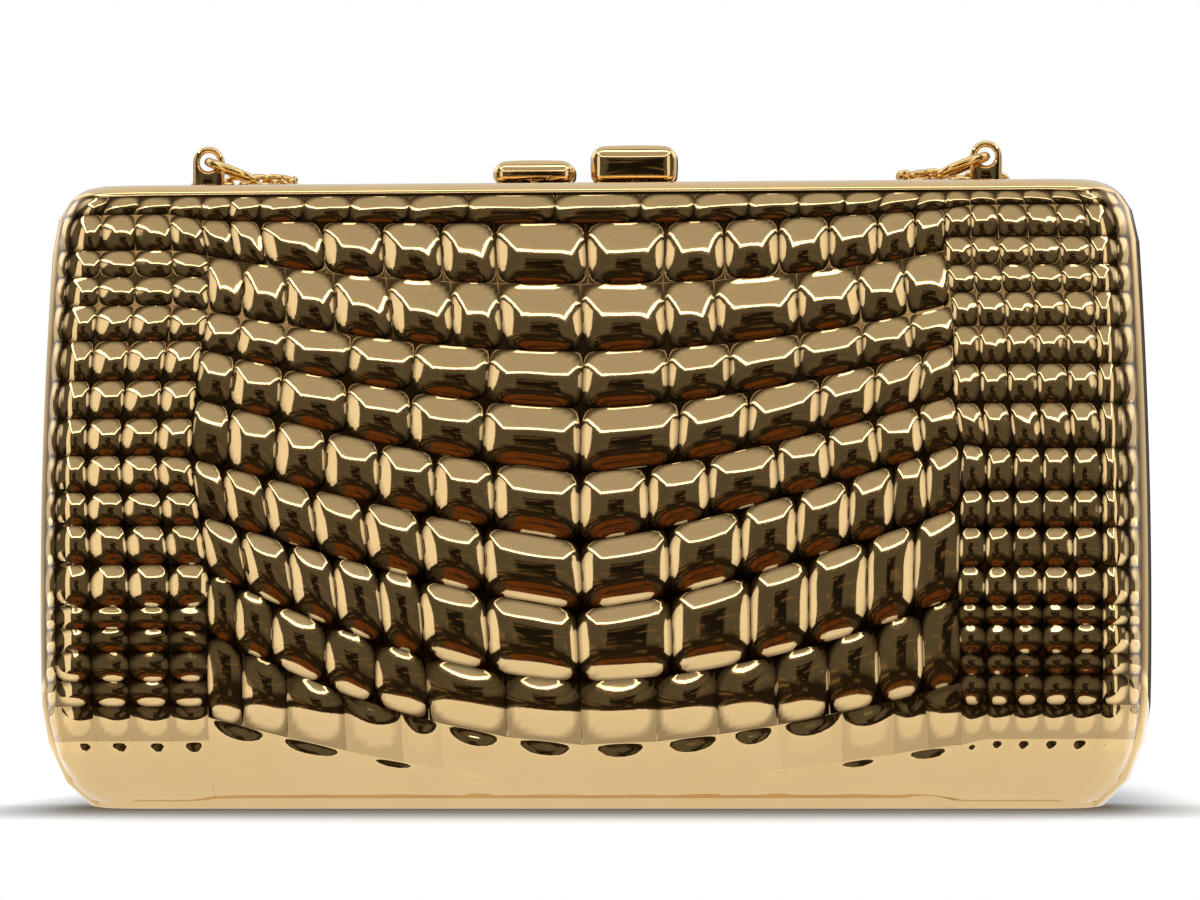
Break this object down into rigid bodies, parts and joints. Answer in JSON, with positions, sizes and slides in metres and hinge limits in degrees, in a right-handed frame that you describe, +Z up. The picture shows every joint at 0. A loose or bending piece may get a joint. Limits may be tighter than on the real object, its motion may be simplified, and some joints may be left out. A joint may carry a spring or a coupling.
{
  "type": "evening clutch",
  "caption": "Hard evening clutch: two domed crocodile-embossed gold halves hinged along the bottom, twin-knob sliding clasp on top, and a link chain on two lugs.",
  "frame": {"origin": "centre of the footprint on the table, without the chain", "axes": "+X along the width to the right in the picture, front faces -Y, +Z up"},
  "size_m": [0.178, 0.1032, 0.1072],
  "materials": {
    "gold_shell": "embossed sheet, polished and plated in pale gold",
    "gold_knob": "cast, polished and plated in pale gold",
    "chain_gold": "drawn wire links, polished and plated in gold",
    "brass_frame": "satin brass strip",
    "steel": "plain turned steel",
    "lining_leather": "soft brown lining leather on card"
  },
  "bodies": {
    "rear_half": {"rear_shell": "gold_shell", "rear_frame": "brass_frame", "rear_lining": "lining_leather", "rear_hinge_leaf": "brass_frame", "hinge_pin": "steel", "chain_lug_left": "gold_knob", "chain_lug_right": "gold_knob", "lug_rivet_left": "steel", "lug_rivet_right": "steel", "latch_guide": "brass_frame", "guide_screw_left": "steel", "guide_screw_right": "steel", "latch_spring": "steel", "chain_left_run": "chain_gold", "chain_right_run": "chain_gold", "chain_coil": "chain_gold"},
    "front_half": {"front_shell": "gold_shell", "front_frame": "brass_frame", "front_lining": "lining_leather", "front_hinge_leaf": "brass_frame", "fixed_knob": "gold_knob", "fixed_knob_screw": "steel", "keeper": "brass_frame", "keeper_screw": "steel"},
    "release": {"release_knob": "gold_knob", "latch_slide": "steel", "knob_screw": "steel"},
    "ring_left": {"jump_ring_left": "chain_gold"},
    "ring_right": {"jump_ring_right": "chain_gold"}
  },
  "joints": [
    {"name": "lid_hinge", "type": "hinge", "parent": "rear_half", "child": "front_half", "pos_m": [0, 0, 0.002], "axis": [1, 0, 0], "range_deg": [0, 85]},
    {"name": "release_slide", "type": "slide", "parent": "rear_half", "child": "release", "axis": [-1, 0, 0], "range_m": [0, 0.0019], "stiffness_N_per_m": 300, "springref_m": -0.004, "deforming": ["latch_spring"]},
    {"name": "ring_left_swing", "type": "hinge", "parent": "rear_half", "child": "ring_left", "pos_m": [-0.0631, 0.0023, 0.10465], "axis": [0, -1, 0], "range_deg": [0, 12]},
    {"name": "ring_right_swing", "type": "hinge", "parent": "rear_half", "child": "ring_right", "pos_m": [0.0631, 0.0023, 0.10465], "axis": [0, 1, 0], "range_deg": [0, 12]}
  ]
}
